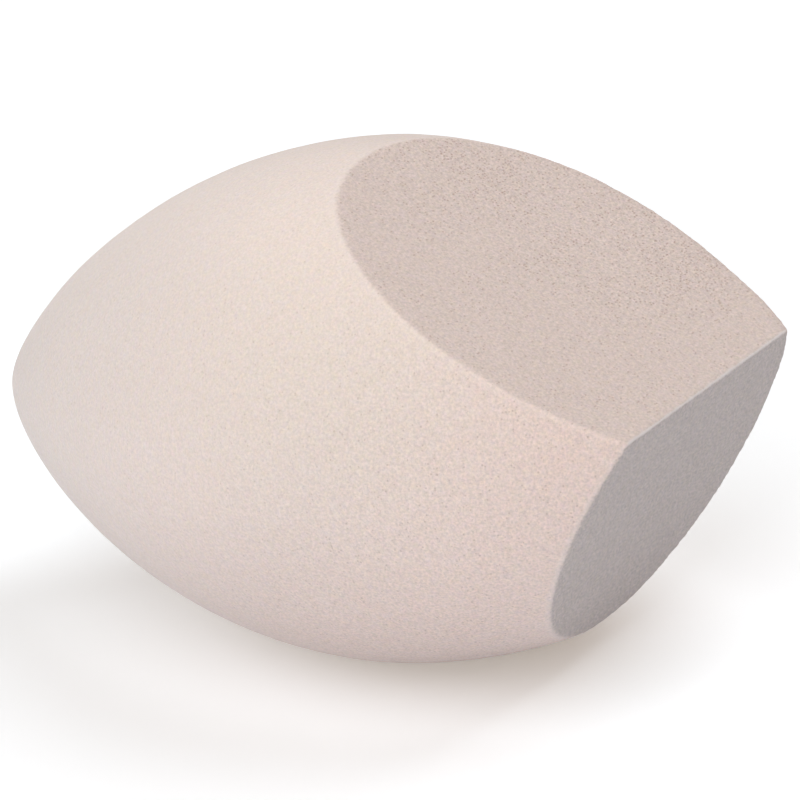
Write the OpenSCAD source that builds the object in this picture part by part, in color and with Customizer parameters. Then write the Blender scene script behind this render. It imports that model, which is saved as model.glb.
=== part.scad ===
// Makeup sponge: one block of soft foam, an olive with one end sliced off by two flat cuts.
// X runs along the sponge towards the sliced end, and Z is up.
// The origin is on the small flat that the sponge rests on, straight below the lowest point
// that the round body has before that flat is cut.

/* [Body] */
// Diameter of the body at its widest section
body_diameter = 38; // [30:0.5:50]
// Length of the body from its widest section to its tip
tip_length = 37; // [30:0.5:50]
// Fullness of the flanks: higher keeps the body wide for longer
flank_fullness = 1.9; // [1.5:0.05:2.5]
// Sharpness of the tip: 0.5 is a round nose and 1 is a straight-sided point
tip_sharpness = 0.84; // [0.5:0.01:1]
// Sharpness of the other end, most of which is sliced off
sliced_end_sharpness = 0.75; // [0.5:0.01:1]

/* [Cuts] */
// Distance along the axis from the widest section to the ridge between the two cuts
ridge_distance = 27.9; // [20:0.1:28]
// Height of the ridge above the axis
ridge_height = 1.9; // [0:0.1:4]
// Slope of the long cut against the axis, in degrees
long_cut_slope = 33.5; // [25:0.5:45]
// Slope of the end cut against the axis, in degrees
end_cut_slope = 52.5; // [45:0.5:75]

/* [Rest] */
// How far the sliced end tips up when the sponge lies still, in degrees
rest_pitch = 7; // [0:0.5:12]
// Depth of the flat where the foam settles on the surface below it
rest_flat_depth = 0.5; // [0.2:0.05:1]

/* [Hidden] */

// Colour of the foam
foam_color = [0.89, 0.84, 0.81];
// Steps of the olive's outline, from its tip to its other end
outline_steps = 96;
// How far each cutting block reaches past the foam
cut_overrun = 5;

body_radius = body_diameter / 2;
half_turn = 180;

// Radius of the whole olive at a distance along its axis from the widest section,
// where a negative distance is on the tip's side
function radius_at(distance) =
    let (sharpness = distance < 0 ? tip_sharpness : sliced_end_sharpness)
    body_radius * pow(1 - pow(abs(distance) / tip_length, flank_fullness), sharpness);

// Distance along the axis at one step, with the steps closer together near both ends
function distance_at(step) = -tip_length * cos(half_turn * step / outline_steps);

// Each point of the outline is a radius and a distance along the axis
outline = [for (step = [0:outline_steps]) [radius_at(distance_at(step)), distance_at(step)]];

// Depth of each outline point below the middle of the widest section, once the olive is pitched
depths = [for (point = outline) point.x * cos(rest_pitch) - point.y * sin(rest_pitch)];
lowest_depth = max(depths);
lowest_point = outline[search(lowest_depth, depths)[0]];

// Place of the middle of the widest section, along the sponge and above the origin
middle_shift = -lowest_point.y * cos(rest_pitch) - lowest_point.x * sin(rest_pitch);
middle_height = lowest_depth - rest_flat_depth;

// Side of a cutting block that reaches past the foam whichever way it is turned
block_size = 2 * tip_length + body_diameter + cut_overrun;

// The whole olive before it is sliced, lying along X
module olive() {
    rotate([0, 90, 0]) rotate_extrude($fn = outline_steps) polygon(outline);
}

// A block that stands on a plane through the middle of its own lower face
module block_above() {
    translate([-block_size / 2, -block_size / 2, 0]) cube(block_size);
}

// The olive with both cuts made, which meet in the ridge
module sliced_olive() {
    difference() {
        olive();
        translate([ridge_distance, 0, ridge_height]) {
            rotate([0, long_cut_slope, 0]) block_above();
            mirror([0, 0, 1]) rotate([0, end_cut_slope, 0]) block_above();
        }
    }
}

// The sponge at rest, settled a little into a flat
module foam_body() {
    color(foam_color) difference() {
        translate([middle_shift, 0, middle_height]) rotate([0, -rest_pitch, 0]) sliced_olive();
        mirror([0, 0, 1]) block_above();
    }
}

foam_body();
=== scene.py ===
"""Makeup sponge: one block of soft foam, an olive with one end sliced off by two flat cuts.

Lengths are in metres in the part's own frame. X runs along the sponge towards its sliced end, Z is
up, and the origin is on the small flat that the sponge rests on.
"""

import logging
import math
from collections.abc import Iterator
from contextlib import contextmanager
from dataclasses import asdict, dataclass, field
from enum import Enum
from typing import ClassVar

import bpy
import numpy as np
from mathutils import Matrix, Vector
from mathutils.bvhtree import BVHTree


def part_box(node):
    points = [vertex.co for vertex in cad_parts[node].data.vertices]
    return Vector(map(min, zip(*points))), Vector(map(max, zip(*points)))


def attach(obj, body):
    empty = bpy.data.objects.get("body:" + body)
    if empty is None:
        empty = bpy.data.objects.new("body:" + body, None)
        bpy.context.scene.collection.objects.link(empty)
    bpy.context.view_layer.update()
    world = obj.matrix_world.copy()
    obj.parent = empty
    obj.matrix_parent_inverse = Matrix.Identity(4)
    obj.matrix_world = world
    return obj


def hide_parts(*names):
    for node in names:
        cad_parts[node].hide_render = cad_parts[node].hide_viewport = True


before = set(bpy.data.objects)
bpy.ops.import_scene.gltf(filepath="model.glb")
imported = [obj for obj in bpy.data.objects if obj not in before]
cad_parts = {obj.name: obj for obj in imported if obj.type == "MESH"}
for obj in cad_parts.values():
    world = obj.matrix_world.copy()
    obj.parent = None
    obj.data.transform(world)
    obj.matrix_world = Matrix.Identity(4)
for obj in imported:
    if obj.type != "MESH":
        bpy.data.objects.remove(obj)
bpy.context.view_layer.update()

MM = 0.001
LOG = logging.getLogger("makeup_sponge")
ROOT_BODY = "root"
FOAM_NODE = "foam_body"
SKIN_DEPTH = "skin_depth"

Colour = tuple[float, float, float]
WHITE: Colour = (1.0, 1.0, 1.0)
Piece = bpy.types.Object
Node = bpy.types.Node
Socket = bpy.types.NodeSocket
NUMBER_KIND = "NodeSocketFloat"
COLOUR_KIND = "NodeSocketColor"


class Cut(Enum):
    """The two flat cuts, each named by the attribute that holds a point's depth below it."""

    LONG = "long_cut_depth"
    END = "end_cut_depth"


class FoamSide(Enum):
    """The parts of the foam's surface that have an unevenness of their own."""

    ALL = "all"
    SKIN = "skin"
    CUT = "cut"
    EDGE = "edge"


def select_only(piece: Piece) -> None:
    """Deselects everything, then selects one piece and makes it the active one."""
    bpy.ops.object.select_all(action="DESELECT")
    piece.select_set(True)
    bpy.context.view_layer.objects.active = piece


@contextmanager
def editing(piece: Piece, select: str = "FACE") -> Iterator[None]:
    """Opens a piece in edit mode, and leaves edit mode again afterwards.

    Args:
        piece: The mesh object.
        select: What is selected in it, VERT or FACE.
    """
    select_only(piece)
    bpy.ops.object.mode_set(mode="EDIT")
    bpy.ops.mesh.select_mode(type=select)
    try:
        yield
    finally:
        bpy.ops.object.mode_set(mode="OBJECT")


def points_of(piece: Piece) -> np.ndarray:
    """Gives the places of a mesh's points, one row each."""
    places = np.empty(len(piece.data.vertices) * 3)
    piece.data.vertices.foreach_get("co", places)
    return places.reshape(-1, 3)


def copy_of(piece: Piece) -> Piece:
    """Copies a piece and its mesh, and gives the copy."""
    select_only(piece)
    bpy.ops.object.duplicate()
    return bpy.context.object


def weigh(piece: Piece, name: str, weights: np.ndarray, steps: int = 20) -> None:
    """Gives a piece a vertex group.

    Args:
        piece: The mesh object.
        name: The group's name.
        weights: Each point's weight, from 0 to 1.
        steps: Number of steps that the weights are rounded to.
    """
    group = piece.vertex_groups.new(name=name)
    rounded = np.round(np.clip(weights, 0, 1) * steps).astype(int)
    for step in range(1, steps + 1):
        group.add(np.flatnonzero(rounded == step).tolist(), step / steps, "REPLACE")


def apply_modifier(piece: Piece, kind: str, **settings: object) -> None:
    """Adds a modifier to a piece and applies it.

    Args:
        piece: The mesh object.
        kind: The modifier's type.
        settings: The modifier's properties by name.
    """
    select_only(piece)
    modifier = piece.modifiers.new(kind.lower(), kind)
    for name, value in settings.items():
        setattr(modifier, name, value)
    bpy.ops.object.modifier_apply(modifier=modifier.name)


def apply_place(piece: Piece) -> None:
    """Puts a piece's place, turn and scale into its mesh."""
    select_only(piece)
    bpy.ops.object.transform_apply(location=True, rotation=True, scale=True)


@dataclass(frozen=True)
class SpongeForm:
    """The sponge's sizes, as its construction has them.

    The olive lies along its own axis X, with the middle of its widest section at zero and its tip
    at minus tip_length. Slopes are in degrees against that axis.
    """

    body_diameter: float = 38 * MM
    tip_length: float = 37 * MM
    flank_fullness: float = 1.9
    tip_sharpness: float = 0.84
    sliced_end_sharpness: float = 0.75
    ridge_distance: float = 27.9 * MM
    ridge_height: float = 1.9 * MM
    long_cut_slope: float = 33.5
    end_cut_slope: float = 52.5
    rest_pitch: float = 7.0
    rest_flat_depth: float = 0.5 * MM
    outline_steps: int = 96

    def radius_at(self, distance: np.ndarray) -> np.ndarray:
        """Gives the radius of the whole olive at distances along its axis."""
        share = np.clip(np.abs(distance) / self.tip_length, 0, 1)
        sharpness = np.where(distance < 0, self.tip_sharpness, self.sliced_end_sharpness)
        return self.body_diameter / 2 * (1 - share**self.flank_fullness) ** sharpness

    def ring_distances(self, steps: int) -> np.ndarray:
        """Gives places along the axis from pole to pole, closer together near both poles."""
        return -self.tip_length * np.cos(np.linspace(0, math.pi, steps + 1))

    def ridge(self) -> Vector:
        """Gives the middle of the ridge between the two cuts, on the olive's own axes."""
        return Vector((self.ridge_distance, 0, self.ridge_height))

    def cut_normal(self, cut: Cut) -> Vector:
        """Gives the outward normal of a cut, on the olive's own axes."""
        if cut is Cut.LONG:
            slope = math.radians(self.long_cut_slope)
            return Vector((math.sin(slope), 0, math.cos(slope)))
        slope = math.radians(self.end_cut_slope)
        return Vector((math.sin(slope), 0, -math.cos(slope)))

    def placement(self) -> Matrix:
        """Gives the move that lays the olive in the part's frame, pitched and a little sunk."""
        pitch = math.radians(self.rest_pitch)
        distances = self.ring_distances(self.outline_steps)
        radii = self.radius_at(distances)
        depths = radii * math.cos(pitch) - distances * math.sin(pitch)
        lowest = int(depths.argmax())
        shift = -distances[lowest] * math.cos(pitch) - radii[lowest] * math.sin(pitch)
        height = depths[lowest] - self.rest_flat_depth
        return Matrix.Translation((shift, 0, height)) @ Matrix.Rotation(-pitch, 4, "Y")

    def cut_depths(self, points: np.ndarray) -> dict[str, np.ndarray]:
        """Measures how deep points of the laid-down sponge lie below its two cuts.

        Args:
            points: Places in the part's frame, one row each.

        Returns:
            The depths in metres, by the name of the attribute that keeps them.
        """
        back = np.array(self.placement().inverted())
        own = points @ back[:3, :3].T + back[:3, 3]
        ridge = np.array(self.ridge())
        return {cut.value: (ridge - own) @ np.array(self.cut_normal(cut)) for cut in Cut}


@dataclass(frozen=True)
class Hollow:
    """A shallow hollow or swelling of the skin, as soft foam keeps where it has been held.

    Attributes:
        distance: Place along the olive's axis from its widest section.
        turn: Degrees round that axis from the top, towards the side that the camera sees.
        depth: How far its middle is pressed in, or swells out where it is negative.
        reach: Distance from its middle at which the skin is as it was.
    """

    distance: float
    turn: float
    depth: float
    reach: float


@dataclass(frozen=True)
class Lumps:
    """Fine unevenness of a surface, as a modelled shape.

    Attributes:
        size: Distance from one lump to the next.
        height: Height of the lumps from lowest to highest.
        side: The part of the surface that has them.
    """

    size: float
    height: float
    side: FoamSide = FoamSide.ALL


@dataclass
class FoamBody:
    """The sponge's one piece, a solid block of foam with a moulded skin and two cut faces.

    Attributes:
        form: The sizes of its shape.
        rings: Number of steps in which the olive is drawn out along its axis.
        ring_sides: Sides of each ring.
        face_size: Size of the faces of the finished mesh.
        block_side: Side of the blocks that make the cuts, larger than the sponge's diameter.
        block_setback: How far a block's middle lies from the ridge, along its cut.
        edge_reach: Distance from a rim or the ridge within which the foam is rounded off.
        edge_rounds: Rounds of smoothing there.
        edge_softness: How far each round moves a point towards its neighbours, from 0 to 1.
        side_blend: Distance over which the skin's grain gives way to the cut's at a rim.
        foot_blend: Height over which the lumps fade in above the foot.
        on_plane: Distance within which a point counts as lying on the foot's plane.
        hollows: The shallow hollows and swellings of the skin.
        lumps: The fine unevenness of the surfaces.
    """

    form: SpongeForm = field(default_factory=SpongeForm)
    rings: int = 160
    ring_sides: int = 192
    face_size: float = 0.31 * MM
    block_side: float = 52 * MM
    block_setback: float = 15 * MM
    edge_reach: float = 0.45 * MM
    edge_rounds: int = 1
    edge_softness: float = 0.5
    side_blend: float = 0.5 * MM
    foot_blend: float = 0.5 * MM
    on_plane: float = 0.0001 * MM
    hollows: tuple[Hollow, ...] = (
        Hollow(distance=4 * MM, turn=107, depth=0.35 * MM, reach=12 * MM),
        Hollow(distance=-3 * MM, turn=118, depth=0.2 * MM, reach=10 * MM),
        Hollow(distance=-17 * MM, turn=50, depth=0.3 * MM, reach=12 * MM),
        Hollow(distance=-14 * MM, turn=86, depth=-0.2 * MM, reach=9 * MM),
        Hollow(distance=3 * MM, turn=78, depth=-0.35 * MM, reach=12 * MM),
        Hollow(distance=20 * MM, turn=90, depth=-0.25 * MM, reach=9 * MM),
        Hollow(distance=-2 * MM, turn=31, depth=-0.25 * MM, reach=10 * MM),
        Hollow(distance=27 * MM, turn=-79, depth=-0.45 * MM, reach=8 * MM),
    )
    lumps: tuple[Lumps, ...] = (
        Lumps(size=6.0 * MM, height=0.12 * MM),
        Lumps(size=0.9 * MM, height=0.015 * MM, side=FoamSide.SKIN),
        Lumps(size=0.8 * MM, height=0.02 * MM, side=FoamSide.CUT),
        Lumps(size=0.7 * MM, height=0.10 * MM, side=FoamSide.EDGE),
    )

    def build(self) -> Piece:
        """Makes the block in its place, with its finish.

        Returns:
            The finished piece.
        """
        whole = self.draw_out_olive()
        self.press_hollows(whole)
        whole.matrix_world = self.form.placement()
        apply_place(whole)
        crisp = copy_of(whole)
        for cut in Cut:
            self.slice_off(crisp, cut)
        self.flatten_foot(crisp)
        piece = self.wrap(crisp)
        depths = self.measure(piece, whole)
        for guide in (whole, crisp):
            bpy.data.objects.remove(guide)
        self.soften_edges(piece, depths)
        self.roughen(piece, depths)
        piece.data.materials.clear()
        piece.data.materials.append(SpongeFoam().material())
        select_only(piece)
        bpy.ops.object.shade_smooth()
        return piece

    def draw_out_olive(self) -> Piece:
        """Extrudes a small disc ring by ring into the whole olive.

        Returns:
            A closed olive on its own axes.
        """
        distances = self.form.ring_distances(self.rings)[1:-1]
        radii = self.form.radius_at(distances)
        bpy.ops.mesh.primitive_circle_add(
            vertices=self.ring_sides,
            radius=radii[0],
            fill_type="NGON",
            location=(distances[0], 0, 0),
            rotation=(0, math.pi / 2, 0),
        )
        olive = bpy.context.object
        apply_place(olive)
        with editing(olive):
            bpy.ops.mesh.select_all(action="SELECT")
            for ring in range(1, len(distances)):
                step = distances[ring] - distances[ring - 1]
                growth = radii[ring] / radii[ring - 1]
                bpy.ops.mesh.extrude_region_move(TRANSFORM_OT_translate={"value": (step, 0, 0)})
                bpy.ops.transform.resize(
                    value=(1, growth, growth), center_override=(distances[ring], 0, 0)
                )
            bpy.ops.mesh.select_all(action="SELECT")
            bpy.ops.mesh.normals_make_consistent(inside=False)
        return olive

    def press_hollows(self, olive: Piece) -> None:
        """Presses the shallow hollows into the skin, and lifts its swellings.

        Args:
            olive: The whole olive, on its own axes.
        """
        for hollow in self.hollows:
            turn = math.radians(hollow.turn)
            outward = np.array((0, -math.sin(turn), math.cos(turn)))
            radius = self.form.radius_at(np.array(hollow.distance))
            middle = outward * radius + np.array((hollow.distance, 0, 0))
            nearest = int(np.linalg.norm(points_of(olive) - middle, axis=1).argmin())
            with editing(olive, "VERT"):
                bpy.ops.mesh.select_all(action="DESELECT")
            olive.data.vertices[nearest].select = True
            with editing(olive, "VERT"):
                bpy.ops.transform.translate(
                    value=tuple(-outward * hollow.depth),
                    use_proportional_edit=True,
                    proportional_edit_falloff="SMOOTH",
                    proportional_size=hollow.reach,
                )

    def slice_off(self, crisp: Piece, cut: Cut) -> None:
        """Takes away the foam beyond a cut, with a block whose lower face lies on it.

        Args:
            crisp: The olive in its place.
            cut: The cut to make.
        """
        normal = self.form.cut_normal(cut)
        along = normal.cross(Vector((0, 1, 0)))
        if along.x > 0:
            along.negate()
        middle = self.form.ridge() + along * self.block_setback + normal * self.block_side / 2
        turn = normal.to_track_quat("Z", "Y").to_matrix().to_4x4()
        bpy.ops.mesh.primitive_cube_add(size=self.block_side)
        block = bpy.context.object
        block.matrix_world = self.form.placement() @ Matrix.Translation(middle) @ turn
        apply_place(block)
        apply_modifier(crisp, "BOOLEAN", operation="DIFFERENCE", object=block, solver="MANIFOLD")
        bpy.data.objects.remove(block)

    def flatten_foot(self, crisp: Piece) -> None:
        """Gives the sliced olive the small flat that it rests on.

        Args:
            crisp: The sliced olive in its place.
        """
        with editing(crisp):
            bpy.ops.mesh.select_all(action="SELECT")
            bpy.ops.mesh.bisect(
                plane_co=(0, 0, 0),
                plane_no=(0, 0, 1),
                use_fill=True,
                clear_inner=True,
                threshold=self.on_plane,
            )

    def wrap(self, crisp: Piece) -> Piece:
        """Makes the piece of faces of one even size, which lie on the sharp-edged block.

        Args:
            crisp: The sharp-edged block, as the guide.

        Returns:
            The new piece.
        """
        piece = copy_of(crisp)
        piece.name = piece.data.name = "sponge_foam"
        apply_modifier(piece, "REMESH", mode="VOXEL", voxel_size=self.face_size)
        apply_modifier(piece, "SHRINKWRAP", target=crisp, wrap_method="NEAREST_SURFACEPOINT")
        return piece

    def measure(self, piece: Piece, whole: Piece) -> dict[str, np.ndarray]:
        """Measures each point's depth below the skin and the cuts, and keeps it on the mesh.

        Args:
            piece: The block in its place.
            whole: The olive before it was sliced, in the same place.

        Returns:
            The depths by the name of their attribute.
        """
        points = points_of(piece)
        depths = self.form.cut_depths(points)
        skin = BVHTree.FromObject(whole, bpy.context.evaluated_depsgraph_get())
        depths[SKIN_DEPTH] = np.array([skin.find_nearest(point)[3] for point in points])
        for name, values in depths.items():
            attribute = piece.data.attributes.new(name, "FLOAT", "POINT")
            attribute.data.foreach_set("value", values.astype(np.float32))
        return depths

    def soften_edges(self, piece: Piece, depths: dict[str, np.ndarray]) -> None:
        """Wears the rims and the ridge a little round.

        Args:
            piece: The block in its place.
            depths: Each point's depths, by name.
        """
        weigh(piece, FoamSide.EDGE.value, self.near_edge(depths))
        apply_modifier(
            piece,
            "SMOOTH",
            factor=self.edge_softness,
            iterations=self.edge_rounds,
            vertex_group=FoamSide.EDGE.value,
        )
        piece.vertex_groups.clear()

    def near_edge(self, depths: dict[str, np.ndarray]) -> np.ndarray:
        """Gives each point's nearness to a rim or the ridge, 1 on it and 0 past the reach."""
        from_edge = np.sort(np.stack(list(depths.values())), axis=0)[1]
        return np.clip(1 - from_edge / self.edge_reach, 0, 1)

    def roughen(self, piece: Piece, depths: dict[str, np.ndarray]) -> None:
        """Models the fine unevenness of each side, and keeps the foot flat.

        Args:
            piece: The block in its place.
            depths: Each point's depths, by name.
        """
        past_rim = depths[SKIN_DEPTH] - np.minimum(depths[Cut.LONG.value], depths[Cut.END.value])
        on_cut = np.clip(0.5 + past_rim / self.side_blend, 0, 1)
        off_foot = np.clip(points_of(piece)[:, 2] / self.foot_blend, 0, 1)
        weigh(piece, FoamSide.ALL.value, off_foot)
        weigh(piece, FoamSide.SKIN.value, off_foot * (1 - on_cut))
        weigh(piece, FoamSide.CUT.value, off_foot * on_cut)
        weigh(piece, FoamSide.EDGE.value, off_foot * self.near_edge(depths))
        for lumps in self.lumps:
            pattern = bpy.data.textures.new("lumps", "CLOUDS")
            pattern.noise_scale = lumps.size
            apply_modifier(
                piece,
                "DISPLACE",
                texture=pattern,
                texture_coords="LOCAL",
                strength=lumps.height,
                mid_level=0.5,
                vertex_group=lumps.side.value,
            )
            bpy.data.textures.remove(pattern)
        piece.vertex_groups.clear()
        points = points_of(piece)
        points[:, 2] = np.maximum(points[:, 2], 0)
        piece.data.vertices.foreach_set("co", points.ravel())
        piece.data.update()


class Graph:
    """A node tree in the making."""

    MIX_SHARE, MIX_FIRST, MIX_SECOND, MIX_RESULT = 0, 6, 7, 2

    def __init__(self, tree: bpy.types.NodeTree) -> None:
        """Takes a tree and empties it."""
        self.tree = tree
        tree.nodes.clear()

    def add(
        self, kind: str, inputs: dict[str | int, object] | None = None, **settings: object
    ) -> Node:
        """Adds a node.

        Args:
            kind: The node's type.
            inputs: A value or another node's output for each input, by its name or number.
            settings: The node's properties by name.

        Returns:
            The new node.
        """
        node = self.tree.nodes.new(kind)
        for name, value in settings.items():
            setattr(node, name, value)
        for key, value in (inputs or {}).items():
            if isinstance(value, Socket):
                self.tree.links.new(value, node.inputs[key])
            else:
                node.inputs[key].default_value = value
        return node

    def calculate(self, operation: str, *values: Socket | float) -> Socket:
        """Adds a Math node and gives its result."""
        node = self.add("ShaderNodeMath", dict(enumerate(values)), operation=operation)
        return node.outputs["Value"]

    def blend(self, share: Socket | float, first: object, second: object) -> Socket:
        """Blends two colours.

        Args:
            share: Share of the second colour.
            first: A colour or an output.
            second: A colour or an output.

        Returns:
            The blended colour.
        """
        inputs = {self.MIX_SHARE: share, self.MIX_FIRST: first, self.MIX_SECOND: second}
        node = self.add("ShaderNodeMix", inputs, data_type="RGBA")
        return node.outputs[self.MIX_RESULT]

    def combine(self, operation: str, first: Socket, second: Socket | Colour) -> Node:
        """Adds a Vector Math node for two vectors or colours."""
        return self.add("ShaderNodeVectorMath", {0: first, 1: second}, operation=operation)

    def shift(self, colour: Socket, amount: float) -> Socket:
        """Adds one number to each part of a colour."""
        return self.combine("ADD", colour, (amount,) * 3).outputs["Vector"]

    def scale(self, colour: Socket, factor: Socket | float) -> Socket:
        """Multiplies a colour by a number."""
        node = self.add("ShaderNodeVectorMath", {0: colour, "Scale": factor}, operation="SCALE")
        return node.outputs["Vector"]

    def multiply(self, first: Socket, second: Socket | Colour) -> Socket:
        """Multiplies two colours part by part."""
        return self.combine("MULTIPLY", first, second).outputs["Vector"]

    def fade(
        self, value: Socket, start: object, end: object, low: object = 0.0, high: object = 1.0
    ) -> Socket:
        """Maps a value smoothly from one range to another, and holds it at both ends.

        Args:
            value: The value to map.
            start: The value that gives low.
            end: The value that gives high.
            low: The result at start.
            high: The result at end.

        Returns:
            The mapped value.
        """
        inputs = {"Value": value, "From Min": start, "From Max": end, "To Min": low, "To Max": high}
        node = self.add("ShaderNodeMapRange", inputs, interpolation_type="SMOOTHSTEP")
        return node.outputs["Result"]

    def between(self, mask: Socket, low: object, high: object) -> Socket:
        """Gives one number where a mask is 0 and another where it is 1, and blends in between."""
        return self.fade(mask, 0.0, 1.0, low, high)

    def swing(self, noise: Socket, reach: float) -> Socket:
        """Stretches a noise's range of 0 to 1 to the one from minus reach to reach."""
        return self.calculate("MULTIPLY_ADD", noise, 2 * reach, -reach)

    def place(self) -> Socket:
        """Gives the point on the piece in metres, in the part's frame."""
        return self.add("ShaderNodeTexCoord").outputs["Object"]

    def attribute(self, name: str) -> Socket:
        """Gives a number that the mesh keeps at each point."""
        return self.add("ShaderNodeAttribute", attribute_name=name).outputs["Fac"]

    def noise(self, size: Socket | float, detail: float, roughness: float = 0.5) -> Node:
        """Adds a noise whose coarsest lumps have a size in metres, and gives its node."""
        scale = self.calculate("DIVIDE", 1.0, size)
        inputs = {"Vector": self.place(), "Scale": scale, "Detail": detail, "Roughness": roughness}
        return self.add("ShaderNodeTexNoise", inputs)


def opaque(colour: Colour) -> tuple[float, float, float, float]:
    """Gives a colour with an opaque alpha, as sockets take it."""
    return (*colour, 1.0)


class Effect:
    """A shader effect that several finishes share: a node group with values of its own in each."""

    NAME: ClassVar[str]
    INPUTS: ClassVar[dict[str, str]]
    OUTPUTS: ClassVar[dict[str, str]]

    @classmethod
    def draw(cls, graph: Graph, inputs: dict[str, Socket]) -> dict[str, Socket]:
        """Fills the group with its nodes.

        Args:
            graph: The group's tree.
            inputs: The group's inputs by name.

        Returns:
            What goes to the group's outputs, by name.
        """
        raise NotImplementedError

    @classmethod
    def group(cls) -> bpy.types.NodeTree:
        """Gives the effect's node group, which is made the first time that it is asked for."""
        found = bpy.data.node_groups.get(cls.NAME)
        if found:
            return found
        tree = bpy.data.node_groups.new(cls.NAME, "ShaderNodeTree")
        for name, kind in cls.INPUTS.items():
            tree.interface.new_socket(name=name, in_out="INPUT", socket_type=kind)
        for name, kind in cls.OUTPUTS.items():
            tree.interface.new_socket(name=name, in_out="OUTPUT", socket_type=kind)
        graph = Graph(tree)
        source = graph.add("NodeGroupInput")
        made = cls.draw(graph, {name: source.outputs[name] for name in cls.INPUTS})
        graph.add("NodeGroupOutput", made)
        return tree

    @classmethod
    def put_in(cls, graph: Graph, **inputs: object) -> Node:
        """Places the effect in a material.

        Args:
            graph: The material's tree.
            inputs: A value or an output for each input, with _ for each space in its name.

        Returns:
            The group node.
        """
        by_socket = {name.replace("_", " "): value for name, value in inputs.items()}
        return graph.add("ShaderNodeGroup", by_socket, node_tree=cls.group())


class FoamGrain(Effect):
    """The grain of open-cell foam: pebbles of foam with small open pits among them.

    A noise is given by its detail and roughness, and HOLE by the distances from a pit's middle
    where it starts and where it is deepest. CELL_REACH is how far the pebbles swing either way.
    CROWDING is two levels of the patches and the factor of open pits at each. TINT_SHARES is the
    share of red, green and blue in the swing of the tints.
    """

    NAME = "foam_grain"
    CELL_NOISE = (2.0, 0.65)
    PATCH_NOISE = (0.0, 0.5)
    TINT_NOISE = (4.0, 0.8)
    CELL_REACH = 2.0
    HOLE = (0.5, 0.15)
    CROWDING = (0.3, 0.7, 0.5, 1.5)
    TINT_SHARES = (0.6, 0.6, 1.5)
    COLOURS = ("colour", "pit colour")
    NUMBERS = (
        "cell size", "cell tone", "cell height", "tint size", "tint swing",
        "pit size", "pit share", "pit tone", "pit height", "patch size",
    )
    INPUTS = dict.fromkeys(COLOURS, COLOUR_KIND) | dict.fromkeys(NUMBERS, NUMBER_KIND)
    OUTPUTS = {"colour": COLOUR_KIND, "height": NUMBER_KIND, "pits": NUMBER_KIND}

    @classmethod
    def draw(cls, graph: Graph, inputs: dict[str, Socket]) -> dict[str, Socket]:
        """Fills the group with its nodes.

        Args:
            graph: The group's tree.
            inputs: The group's inputs by name.

        Returns:
            The grained colour, a height in metres and a mask of the pits.
        """
        cells = graph.noise(inputs["cell size"], *cls.CELL_NOISE).outputs["Fac"]
        lumps = graph.swing(cells, cls.CELL_REACH)
        pit_scale = graph.calculate("DIVIDE", 1.0, inputs["pit size"])
        holes = graph.add("ShaderNodeTexVoronoi", {"Vector": graph.place(), "Scale": pit_scale})
        chance = graph.add("ShaderNodeSeparateColor", {"Color": holes.outputs["Color"]})
        patches = graph.noise(inputs["patch size"], *cls.PATCH_NOISE).outputs["Fac"]
        crowding = graph.fade(patches, *cls.CROWDING)
        open_share = graph.calculate("MULTIPLY", inputs["pit share"], crowding)
        is_open = graph.calculate("LESS_THAN", chance.outputs["Red"], open_share)
        hole = graph.fade(holes.outputs["Distance"], *cls.HOLE)
        pits = graph.calculate("MULTIPLY", hole, is_open)
        tone = graph.calculate("MULTIPLY_ADD", lumps, inputs["cell tone"], 1.0)
        tints = graph.noise(inputs["tint size"], *cls.TINT_NOISE).outputs["Color"]
        swing = graph.scale(graph.shift(tints, -0.5), inputs["tint swing"])
        tint = graph.shift(graph.multiply(swing, cls.TINT_SHARES), 1.0)
        grained = graph.multiply(graph.scale(inputs["colour"], tone), tint)
        share = graph.calculate("MULTIPLY", pits, inputs["pit tone"])
        height = graph.calculate("MULTIPLY", lumps, inputs["cell height"])
        pit_depth = graph.calculate("MULTIPLY", pits, inputs["pit height"])
        return {
            "colour": graph.blend(share, grained, inputs["pit colour"]),
            "height": graph.calculate("SUBTRACT", height, pit_depth),
            "pits": pits,
        }


class EdgeHighlight(Effect):
    """A soft painted highlight along an edge, where light shows through the thin frayed foam."""

    NAME = "edge_highlight"
    TEAR_DETAIL = 1.0
    INPUTS = dict.fromkeys(("distance", "width", "raggedness", "tear size"), NUMBER_KIND)
    OUTPUTS = {"mask": NUMBER_KIND}

    @classmethod
    def draw(cls, graph: Graph, inputs: dict[str, Socket]) -> dict[str, Socket]:
        """Fills the group with its nodes.

        Args:
            graph: The group's tree.
            inputs: The group's inputs by name.

        Returns:
            A mask that is 1 on the edge and fades out on both sides of it.
        """
        tears = graph.noise(inputs["tear size"], cls.TEAR_DETAIL).outputs["Fac"]
        swing = graph.swing(tears, 1.0)
        change = graph.calculate("MULTIPLY_ADD", swing, inputs["raggedness"], 1.0)
        reach = graph.calculate("MULTIPLY", inputs["width"], change)
        away = graph.calculate("ABSOLUTE", inputs["distance"])
        return {"mask": graph.fade(away, reach, 0.0)}


@dataclass(frozen=True)
class Grain:
    """How strong the foam's grain is in one zone of its surface.

    Attributes:
        cell_tone: Swing of the colour from pebble to pebble.
        cell_height: Height of the pebbles.
        pit_share: Share of the pits that are open.
        pit_tone: Share of the pits' own colour in an open pit.
        pit_height: Depth of the pits.
    """

    cell_tone: float
    cell_height: float
    pit_share: float
    pit_tone: float
    pit_height: float


Zones = tuple[tuple[Socket, Grain], ...]


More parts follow.
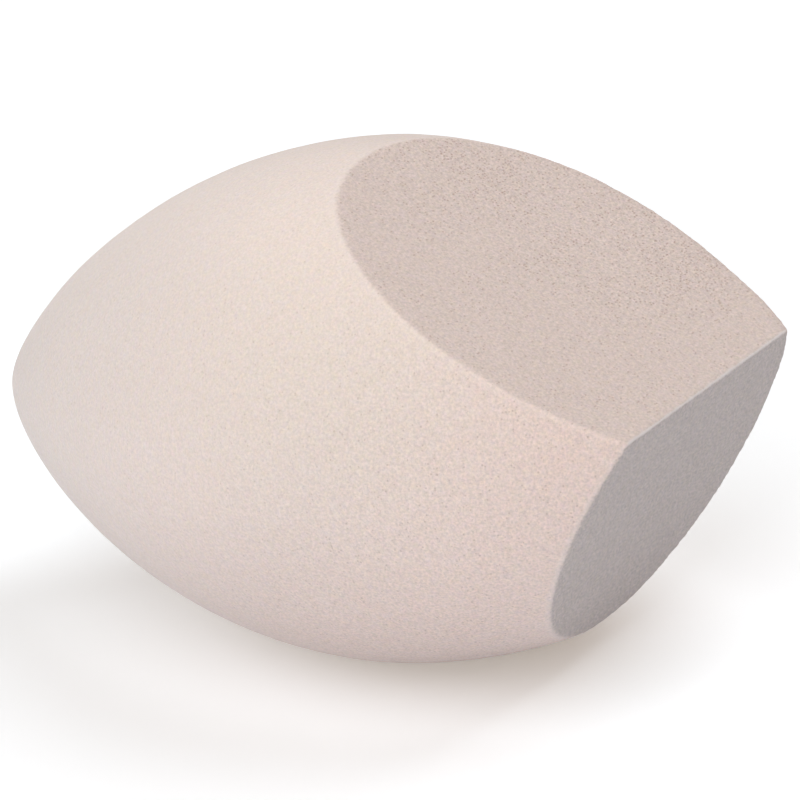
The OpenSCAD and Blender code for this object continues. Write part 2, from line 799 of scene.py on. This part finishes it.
@dataclass(frozen=True)
class SpongeFoam:
    """The matt foam, with a fine skin and open cut faces.

    Attributes:
        tip_colour: The skin's colour at the tip, a cool cream.
        pink_colour: Its colour at the sliced end and below; towards the underside it is a painted
            tint of the light that falls there.
        pink_toward: The direction in which it grows pinker.
        pink_from: Distance along that direction where it starts to.
        pink_to: Distance along it where it is fully pink.
        warm_light_colour: Colour of painted warm light, where the top of the skin beside the long
            cut is lit.
        warm_light_middle: The middle of that painted light.
        warm_light_reach: Distance from there at which it ends.
        warm_light_share: Share of its colour in its middle.
        mottle_size: Size of the patches in which the two colours mix.
        mottle_detail: How much finer detail they have.
        mottle_share: How far a patch departs from the colour round it.
        cut_colour: Colour of the cut faces.
        pit_colour: Colour of the open pits.
        edge_highlight_colour: Colour of the painted highlight along the frayed edges, where light
            shows through the thin foam.
        long_rim_strength: How much of it the long cut's rim has.
        end_rim_strength: How much of it the end cut's rim has.
        ridge_strength: How much of it the ridge has.
        edge_width: Distance over which it fades on both sides.
        tear_size: Size of the frayed edges' unevenness.
        raggedness: Share by which that unevenness changes their width.
        rim_offset: How far on the skin's side of a rim that line has its middle.
        rim_blend: Distance on both sides of a rim over which the skin turns into cut foam.
        cell_size: Size of the grain's pebbles.
        pit_size: Distance from one pit to the next, open or not.
        patch_size: Size of the patches that have more or fewer open pits.
        tint_size: Size of the coarsest specks of tint.
        tint_swing: Strength of those specks.
        tip_grain: The grain of the skin at the tip.
        skin_grain: Its grain at the sliced end and below.
        skin_from: Distance along pink_toward where the one starts to give way to the other.
        skin_to: Distance along it where it has done so.
        cut_grain: The grain of the long cut, on the near side.
        open_grain: Its grain on the far side, where more pits are open.
        open_from: Place along Y where the one starts to give way to the other.
        open_to: Place along Y where it has done so.
        open_clear: Distance from the end cut within which the pits are not so open either.
        end_grain: The grain of the end cut.
        skin_roughness: Roughness of the skin.
        cut_roughness: Roughness of the cut faces.
        pit_roughness: What an open pit adds to it.
        specular: Strength of the surface's own reflection.
        fuzz: Strength of the soft brightening of the outline, from the foam's fine fuzz.
    """

    tip_colour: Colour = (0.789, 0.689, 0.635)
    pink_colour: Colour = (0.820, 0.634, 0.560)
    pink_toward: tuple[float, float, float] = (0.7, 0.0, -0.7)
    pink_from: float = -40 * MM
    pink_to: float = 14 * MM
    # Painted warm light on the lit top of the skin beside the long cut, as a cream patch.
    warm_light_colour: Colour = (0.80, 0.69, 0.604)
    warm_light_middle: tuple[float, float, float] = (8 * MM, -15 * MM, 29 * MM)
    warm_light_reach: float = 21 * MM
    warm_light_share: float = 0.6
    mottle_size: float = 1.5 * MM
    mottle_detail: float = 2.0
    mottle_share: float = 0.38
    cut_colour: Colour = (0.667, 0.55, 0.50)
    pit_colour: Colour = (0.40, 0.25, 0.20)
    # Painted highlight: a pale line along the frayed rims and the ridge, where light shows through
    # the thin foam.
    edge_highlight_colour: Colour = (0.87, 0.78, 0.74)
    long_rim_strength: float = 0.1
    end_rim_strength: float = 0.22
    ridge_strength: float = 0.75
    edge_width: float = 0.3 * MM
    tear_size: float = 0.8 * MM
    raggedness: float = 0.8
    rim_offset: float = 0.14 * MM
    rim_blend: float = 0.15 * MM
    cell_size: float = 0.2 * MM
    pit_size: float = 0.21 * MM
    patch_size: float = 7 * MM
    tint_size: float = 0.5 * MM
    tint_swing: float = 0.21
    tip_grain: Grain = Grain(
        cell_tone=0.088, cell_height=0.002 * MM, pit_share=0.04, pit_tone=0.22, pit_height=0.01 * MM
    )
    skin_grain: Grain = Grain(
        cell_tone=0.165, cell_height=0.004 * MM, pit_share=0.09, pit_tone=0.4, pit_height=0.01 * MM
    )
    skin_from: float = -30 * MM
    skin_to: float = 12 * MM
    cut_grain: Grain = Grain(
        cell_tone=0.16, cell_height=0.005 * MM, pit_share=0.10, pit_tone=0.5, pit_height=0.02 * MM
    )
    open_grain: Grain = Grain(
        cell_tone=0.21, cell_height=0.008 * MM, pit_share=0.5, pit_tone=0.65, pit_height=0.02 * MM
    )
    open_from: float = -10 * MM
    open_to: float = 12 * MM
    open_clear: float = 12 * MM
    end_grain: Grain = Grain(
        cell_tone=0.25, cell_height=0.006 * MM, pit_share=0.03, pit_tone=0.3, pit_height=0.01 * MM
    )
    skin_roughness: float = 0.93
    cut_roughness: float = 0.97
    pit_roughness: float = 0.03
    specular: float = 0.2
    fuzz: float = 0.15

    def material(self) -> bpy.types.Material:
        """Makes the foam's material."""
        material = bpy.data.materials.new("sponge_foam")
        material.use_nodes = True
        graph = Graph(material.node_tree)
        long_depth = graph.attribute(Cut.LONG.value)
        end_depth = graph.attribute(Cut.END.value)
        nearest_cut = graph.calculate("MINIMUM", long_depth, end_depth)
        past_rim = graph.calculate("SUBTRACT", graph.attribute(SKIN_DEPTH), nearest_cut)
        past_ridge = graph.calculate("SUBTRACT", long_depth, end_depth)
        on_cut = graph.fade(past_rim, -self.rim_blend, self.rim_blend)
        plain = graph.blend(on_cut, self.skin_colour(graph), opaque(self.cut_colour))
        by_end = graph.calculate("LESS_THAN", end_depth, long_depth)
        grain = self.grain(graph, plain, self.zones(graph, on_cut, by_end))
        # The rims and the ridge get a painted highlight, a pale line where light shows through the
        # thin frayed foam.
        rim_strength = graph.between(by_end, self.long_rim_strength, self.end_rim_strength)
        past_line = graph.calculate("ADD", past_rim, self.rim_offset)
        rim = graph.calculate("MULTIPLY", self.edge(graph, past_line), rim_strength)
        ridge_line = graph.calculate("MULTIPLY", self.edge(graph, past_ridge), on_cut)
        ridge = graph.calculate("MULTIPLY", ridge_line, self.ridge_strength)
        highlight = graph.calculate("MAXIMUM", rim, ridge)
        colour = graph.blend(highlight, grain.outputs["colour"], opaque(self.edge_highlight_colour))
        base = graph.between(on_cut, self.skin_roughness, self.cut_roughness)
        pits = grain.outputs["pits"]
        roughness = graph.calculate("MULTIPLY_ADD", pits, self.pit_roughness, base)
        bump = graph.add("ShaderNodeBump", {"Height": grain.outputs["height"], "Distance": 1.0})
        shader = graph.add(
            "ShaderNodeBsdfPrincipled",
            {
                "Base Color": colour,
                "Roughness": roughness,
                "Specular IOR Level": self.specular,
                "Sheen Weight": self.fuzz,
                "Normal": bump.outputs["Normal"],
            },
        )
        graph.add("ShaderNodeOutputMaterial", {"Surface": shader.outputs["BSDF"]})
        return material

    def skin_colour(self, graph: Graph) -> Socket:
        """Gives the skin's colour, which drifts along the body and is a little mottled.

        Args:
            graph: The material's tree.

        Returns:
            The colour.
        """
        # Towards the sliced end and the underside the skin grows pinker; its drift downward is a
        # painted tint of the light there.
        drift = graph.fade(self.toward_pink(graph), self.pink_from, self.pink_to)
        mottle = graph.noise(self.mottle_size, self.mottle_detail).outputs["Fac"]
        swing = graph.swing(mottle, 0.5)
        share = graph.calculate("MULTIPLY_ADD", swing, self.mottle_share, drift)
        # A cream patch of painted warm light on the lit top of the skin, beside the long cut.
        off = graph.combine("DISTANCE", graph.place(), self.warm_light_middle).outputs["Value"]
        cream = graph.fade(off, self.warm_light_reach, 0.0, 0.0, self.warm_light_share)
        mixed = graph.blend(share, opaque(self.tip_colour), opaque(self.pink_colour))
        return graph.blend(cream, mixed, opaque(self.warm_light_colour))

    def toward_pink(self, graph: Graph) -> Socket:
        """Gives how far a point lies in the direction in which the skin grows pinker."""
        return graph.combine("DOT_PRODUCT", graph.place(), self.pink_toward).outputs["Value"]

    def zones(self, graph: Graph, on_cut: Socket, by_end: Socket) -> Zones:
        """Gives the zones that differ from the tip in their grain.

        Args:
            graph: The material's tree.
            on_cut: A mask that is 1 on the cut faces.
            by_end: A mask that is 1 nearer to the end cut than to the long cut.

        Returns:
            A mask and a grain for each, where a later one lies over those before it.
        """
        place = graph.add("ShaderNodeSeparateXYZ", {"Vector": graph.place()})
        sliced_end = graph.fade(self.toward_pink(graph), self.skin_from, self.skin_to)
        far_side = graph.fade(place.outputs["Y"], self.open_from, self.open_to)
        clear = graph.fade(graph.attribute(Cut.END.value), 0.0, self.open_clear)
        far_cut = graph.calculate("MULTIPLY", on_cut, graph.calculate("MULTIPLY", far_side, clear))
        return (
            (sliced_end, self.skin_grain),
            (on_cut, self.cut_grain),
            (far_cut, self.open_grain),
            (graph.calculate("MULTIPLY", on_cut, by_end), self.end_grain),
        )

    def grain(self, graph: Graph, colour: Socket, zones: Zones) -> Node:
        """Places the grain, with each zone's strength in it.

        Args:
            graph: The material's tree.
            colour: The colour to give a grain.
            zones: A mask and a grain for each zone but the tip.

        Returns:
            The grain's group node.
        """
        strengths: dict[str, Socket | float] = asdict(self.tip_grain)
        for mask, grain in zones:
            for name, value in asdict(grain).items():
                strengths[name] = graph.between(mask, strengths[name], value)
        return FoamGrain.put_in(
            graph,
            colour=colour,
            pit_colour=opaque(self.pit_colour),
            cell_size=self.cell_size,
            pit_size=self.pit_size,
            patch_size=self.patch_size,
            tint_size=self.tint_size,
            tint_swing=self.tint_swing,
            **strengths,
        )

    def edge(self, graph: Graph, distance: Socket) -> Socket:
        """Gives a ragged mask for the painted highlight along an edge, from the distance past it in
        metres.
        """
        highlight = EdgeHighlight.put_in(
            graph,
            distance=distance,
            width=self.edge_width,
            raggedness=self.raggedness,
            tear_size=self.tear_size,
        )
        return highlight.outputs["mask"]


@dataclass(frozen=True)
class PaleFloor:
    """The matt white floor, which the camera sees as white but for the sponge's shadow.

    Attributes:
        colour: Its paint, a cool white that lights the sponge from below.
        lift: What the eye sees on top of that, a little warm, so that the floor reads plain white.
    """

    colour: Colour = (0.80, 0.87, 0.94)
    lift: Colour = (0.33, 0.28, 0.23)

    def material(self) -> bpy.types.Material:
        """Makes the floor's material."""
        material = bpy.data.materials.new("pale_floor")
        material.use_nodes = True
        graph = Graph(material.node_tree)
        paint = graph.add("ShaderNodeBsdfDiffuse", {"Color": opaque(self.colour)})
        rays = graph.add("ShaderNodeLightPath")
        glow = graph.add(
            "ShaderNodeEmission", {"Color": opaque(self.lift), "Strength": seen_by_eye(graph, rays)}
        )
        both = graph.add(
            "ShaderNodeAddShader", {0: paint.outputs["BSDF"], 1: glow.outputs["Emission"]}
        )
        gone = graph.add("ShaderNodeBsdfTransparent")
        under = graph.calculate(
            "MULTIPLY",
            graph.add("ShaderNodeNewGeometry").outputs["Backfacing"],
            rays.outputs["Is Camera Ray"],
        )
        surface = graph.add(
            "ShaderNodeMixShader", {0: under, 1: both.outputs["Shader"], 2: gone.outputs["BSDF"]}
        )
        graph.add("ShaderNodeOutputMaterial", {"Surface": surface.outputs["Shader"]})
        return material


def seen_by_eye(graph: Graph, rays: Node) -> Socket:
    """Gives 1 for camera, glossy and transmission rays, which show the white background.

    Args:
        graph: The tree to work in.
        rays: Its Light Path node.

    Returns:
        The mask.
    """
    mirrored = graph.calculate(
        "MAXIMUM", rays.outputs["Is Glossy Ray"], rays.outputs["Is Transmission Ray"]
    )
    return graph.calculate("MAXIMUM", rays.outputs["Is Camera Ray"], mirrored)


@dataclass(frozen=True)
class ViewAxes:
    """The directions of the photograph's view, in the part's frame.

    Attributes:
        azimuth: Degrees round the sponge, where 0 looks along +Y.
        elevation: Degrees above the horizon.
        roll: Degrees that the camera is turned about its own line of sight.
    """

    azimuth: float = 39.64
    elevation: float = 24.18
    roll: float = 8.4

    def toward(self) -> Vector:
        """Gives the direction from the sponge towards the camera."""
        azimuth, elevation = math.radians(self.azimuth), math.radians(self.elevation)
        level = math.cos(elevation)
        return Vector((level * math.sin(azimuth), -level * math.cos(azimuth), math.sin(elevation)))

    def right_and_up(self) -> tuple[Vector, Vector]:
        """Gives the picture's right and up directions."""
        azimuth, roll = math.radians(self.azimuth), math.radians(self.roll)
        level_right = Vector((math.cos(azimuth), math.sin(azimuth), 0))
        level_up = self.toward().cross(level_right)
        right = level_right * math.cos(roll) - level_up * math.sin(roll)
        up = level_up * math.cos(roll) + level_right * math.sin(roll)
        return right, up

    def direction(self, right: float, up: float, toward: float) -> Vector:
        """Gives a direction of the part's frame from its shares along the picture's axes."""
        picture_right, picture_up = self.right_and_up()
        return (picture_right * right + picture_up * up + self.toward() * toward).normalized()


@dataclass(frozen=True)
class PhotoCamera:
    """The camera at the photograph's viewing angle.

    Attributes:
        axes: The directions of its view.
        distance: Distance from the middle of the sponge's widest section.
        lens: Focal length in millimetres.
        sensor: Width of the sensor in millimetres.
        aim_left: How far left of that middle it aims, in the picture.
        aim_below: How far below it.
        nearest: Distance from which things show.
        farthest: Distance up to which they do.
    """

    axes: ViewAxes = field(default_factory=ViewAxes)
    distance: float = 656 * MM
    lens: float = 410.9
    sensor: float = 36.0
    aim_left: float = 0.24 * MM
    aim_below: float = 0.12 * MM
    nearest: float = 0.01
    farthest: float = 20.0

    def build(self, form: SpongeForm) -> None:
        """Makes the camera and looks through it.

        Args:
            form: The sponge's sizes, which say where its middle is.
        """
        data = bpy.data.cameras.new("photo_camera")
        data.lens, data.sensor_width = self.lens, self.sensor
        data.clip_start, data.clip_end = self.nearest, self.farthest
        camera = bpy.data.objects.new("photo_camera", data)
        right, up = self.axes.right_and_up()
        toward = self.axes.toward()
        aim = form.placement().translation - right * self.aim_left - up * self.aim_below
        turn = Matrix((right, up, toward)).transposed().to_4x4()
        camera.matrix_world = Matrix.Translation(aim + toward * self.distance) @ turn
        bpy.context.scene.collection.objects.link(camera)
        bpy.context.scene.camera = camera


@dataclass(frozen=True)
class SoftLamp:
    """A large soft lamp that faces the sponge.

    Attributes:
        name: Its name.
        right: Share of its direction along the picture's right.
        up: Share of it along the picture's up.
        toward: Share of it towards the camera.
        level: The light that it gives a surface facing it, where 1 renders a colour as written.
        diameter: Its width.
    """

    name: str
    right: float
    up: float
    toward: float
    level: float
    diameter: float = 0.8


@dataclass
class Studio:
    """The floor, the lamps and the even light round the sponge.

    Attributes:
        axes: The directions of the photograph's view, which the lamps are hung by.
        lamp_distance: Distance of each lamp from the sponge's middle.
        floor_radius: Radius of the floor.
        floor_sides: Number of its sides.
        floor_rings: Number of rings that it is divided into.
        room_level: Strength of the even light.
        lamps: The soft lamps.
    """

    axes: ViewAxes = field(default_factory=ViewAxes)
    lamp_distance: float = 0.9
    floor_radius: float = 3.0
    floor_sides: int = 96
    floor_rings: int = 4
    room_level: float = 0.015
    lamps: tuple[SoftLamp, ...] = (
        SoftLamp("key_lamp", right=-0.243, up=0.469, toward=0.849, level=0.455),
        SoftLamp("top_lamp", right=0.391, up=0.899, toward=0.199, level=0.675),
        SoftLamp("side_lamp", right=-0.925, up=0.342, toward=-0.163, level=0.31),
        SoftLamp("low_lamp", right=-0.495, up=-0.139, toward=0.858, level=0.28, diameter=0.3),
    )

    def build(self, middle: Vector) -> None:
        """Makes the floor, the lamps and the world.

        Args:
            middle: The point that the lamps face.
        """
        self.build_floor()
        for lamp in self.lamps:
            self.build_lamp(lamp, middle)
        self.build_room()
        bpy.context.scene.view_settings.view_transform = "Standard"

    def build_floor(self) -> None:
        """Makes the round floor, with its top at the sponge's foot."""
        bpy.ops.mesh.primitive_circle_add(
            vertices=self.floor_sides, radius=self.floor_radius, fill_type="NGON"
        )
        floor = bpy.context.object
        floor.name = floor.data.name = "floor"
        with editing(floor):
            bpy.ops.mesh.select_all(action="SELECT")
            for _ in range(self.floor_rings - 1):
                width = self.floor_radius / self.floor_rings
                bpy.ops.mesh.inset(thickness=width, use_boundary=True)
        floor.data.materials.append(PaleFloor().material())

    def build_lamp(self, lamp: SoftLamp, middle: Vector) -> None:
        """Hangs one lamp.

        Args:
            lamp: Its direction and level.
            middle: The point that it faces.
        """
        data = bpy.data.lights.new(lamp.name, "AREA")
        data.shape = "DISK"
        data.size = lamp.diameter
        data.energy = lamp.level * (math.pi * self.lamp_distance) ** 2
        direction = self.axes.direction(lamp.right, lamp.up, lamp.toward)
        light = bpy.data.objects.new(lamp.name, data)
        light.location = middle + direction * self.lamp_distance
        light.rotation_euler = direction.to_track_quat("Z", "Y").to_euler()
        bpy.context.scene.collection.objects.link(light)

    def build_room(self) -> None:
        """Makes the even light, and the white that the camera sees past the floor."""
        world = bpy.data.worlds.new("studio_room")
        world.use_nodes = True
        graph = Graph(world.node_tree)
        rays = graph.add("ShaderNodeLightPath")
        even, white = (
            graph.add("ShaderNodeBackground", {"Color": opaque(WHITE), "Strength": level})
            for level in (self.room_level, 1.0)
        )
        both = graph.add(
            "ShaderNodeMixShader",
            {0: seen_by_eye(graph, rays), 1: even.outputs[0], 2: white.outputs[0]},
        )
        graph.add("ShaderNodeOutputWorld", {"Surface": both.outputs["Shader"]})
        bpy.context.scene.world = world


def declare(piece: Piece) -> None:
    """Hangs the finished piece on the root body, and hides the solid that it replaces."""
    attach(piece, ROOT_BODY)
    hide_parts(FOAM_NODE)


def report_piece(piece: Piece) -> None:
    """Logs a piece's faces and how far it stands off its solid's box, in millimetres."""
    points = points_of(piece)
    low, high = (np.array(corner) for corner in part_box(FOAM_NODE))
    off = np.concatenate((points.min(0) - low, points.max(0) - high)) / MM
    faces = len(piece.data.polygons)
    LOG.info("%s: %d faces, off its box by %s mm", piece.name, faces, off.round(2))


def main() -> None:
    """Builds the sponge, its studio and the camera, in that order."""
    logging.basicConfig(level=logging.INFO, format="%(name)s: %(message)s")
    body = FoamBody()
    sponge = body.build()
    declare(sponge)
    report_piece(sponge)
    middle = body.form.placement().translation
    Studio().build(middle)
    PhotoCamera().build(body.form)


if __name__ == "__main__":
    main()
